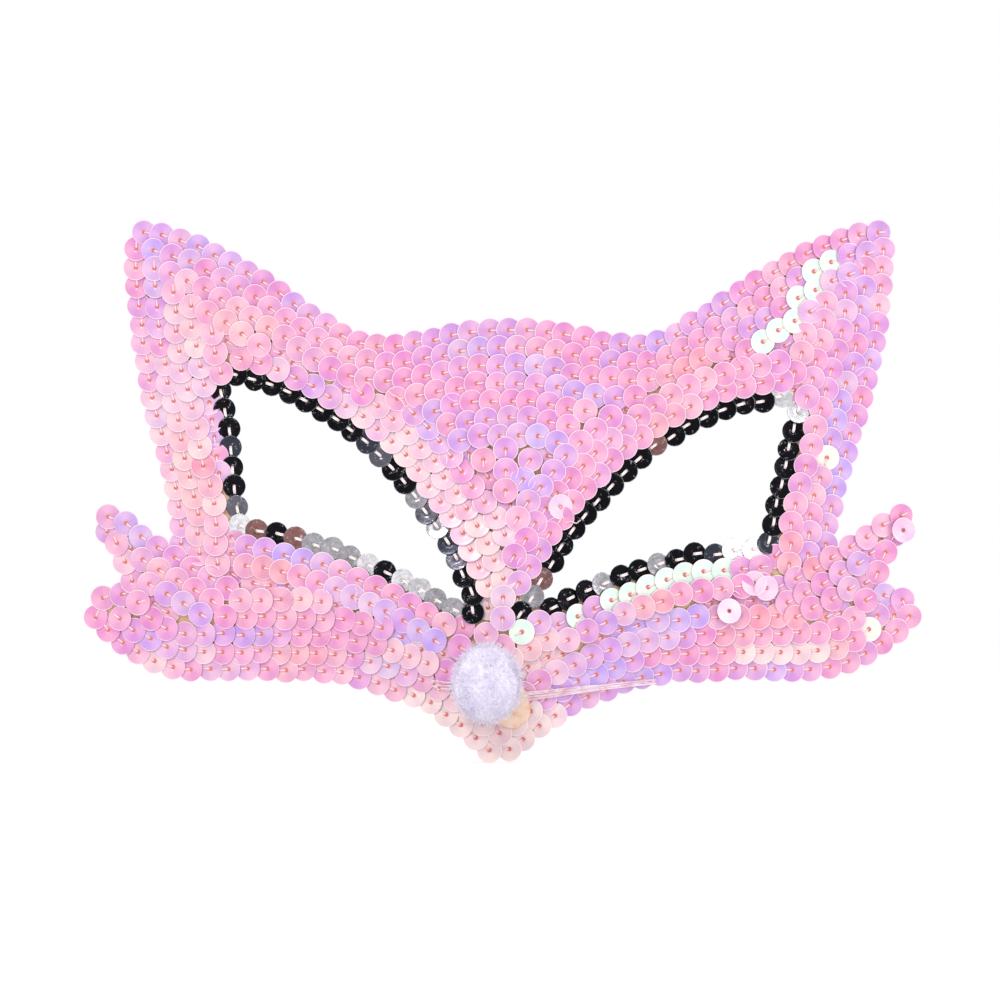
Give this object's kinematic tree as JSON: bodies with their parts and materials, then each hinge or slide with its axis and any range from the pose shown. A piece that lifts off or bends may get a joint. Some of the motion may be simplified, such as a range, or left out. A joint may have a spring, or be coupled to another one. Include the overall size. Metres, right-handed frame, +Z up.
{
  "type": "sequin fox half mask",
  "caption": "Sequin-covered fox half mask with pointed ears, large mirror-edged eye openings, cheek points, a pompom nose and clear whiskers.",
  "frame": {"origin": "front of the base at the middle of the forehead, where the mask is held against the wearer's face", "axes": "+X towards the wearer's left (the right of the mask seen from the front), -Y out of the mask's front, +Z up as worn"},
  "size_m": [0.2023, 0.0438, 0.1294],
  "materials": {
    "base_cloth": "matt stiffened cloth",
    "felt": "matt felt",
    "pearl_sequin": "pearly pink with a lilac and mint sheen",
    "mirror_sequin": "mirror",
    "glue": "clear amber",
    "pompom_fluff": "fluffy",
    "clear_whisker": "clear",
    "ribbon": "satin ribbon"
  },
  "bodies": {
    "root": {"base_shell": "base_cloth", "felt_lining": "felt", "left_eye_upper_trim": "mirror_sequin", "right_eye_upper_trim": "mirror_sequin", "left_eye_lower_trim": "mirror_sequin", "right_eye_lower_trim": "mirror_sequin", "brow_string_1": "pearl_sequin", "left_cheek_string_1": "pearl_sequin", "right_cheek_string_1": "pearl_sequin", "left_side_string_1": "pearl_sequin", "right_side_string_1": "pearl_sequin", "chin_string_1": "pearl_sequin", "left_spike_string": "pearl_sequin", "right_spike_string": "pearl_sequin", "left_upper_eye_string_1": "pearl_sequin", "right_upper_eye_string_1": "pearl_sequin", "left_lower_eye_string_1": "pearl_sequin", "right_lower_eye_string_1": "pearl_sequin", "brow_string_2": "pearl_sequin", "left_cheek_string_2": "pearl_sequin", "right_cheek_string_2": "pearl_sequin", "left_side_string_2": "pearl_sequin", "right_side_string_2": "pearl_sequin", "chin_string_2": "pearl_sequin", "brow_string_3": "pearl_sequin", "left_cheek_string_3": "pearl_sequin", "right_cheek_string_3": "pearl_sequin", "left_side_string_3": "pearl_sequin", "right_side_string_3": "pearl_sequin", "chin_string_3": "pearl_sequin", "left_upper_eye_string_2": "pearl_sequin", "right_upper_eye_string_2": "pearl_sequin", "left_lower_eye_string_2": "pearl_sequin", "right_lower_eye_string_2": "pearl_sequin", "brow_string_4": "pearl_sequin", "left_side_string_4": "pearl_sequin", "right_side_string_4": "pearl_sequin", "left_chin_string_4": "pearl_sequin", "right_chin_string_4": "pearl_sequin", "left_upper_eye_string_3": "pearl_sequin", "right_upper_eye_string_3": "pearl_sequin", "brow_string_5": "pearl_sequin", "brow_string_6": "pearl_sequin", "brow_string_7": "pearl_sequin", "left_chin_string_5": "pearl_sequin", "right_chin_string_5": "pearl_sequin", "left_chin_string_6": "pearl_sequin", "right_chin_string_6": "pearl_sequin", "left_ear_string": "pearl_sequin", "right_ear_string": "pearl_sequin", "left_side_string_5": "pearl_sequin", "right_side_string_5": "pearl_sequin", "upper_bridge_string": "pearl_sequin", "lower_bridge_string": "pearl_sequin", "pompom_glue": "glue", "nose_pompom": "pompom_fluff", "right_whisker": "clear_whisker", "left_whisker": "clear_whisker", "left_ribbon_loop": "ribbon", "right_ribbon_loop": "ribbon"}
  },
  "joints": []
}
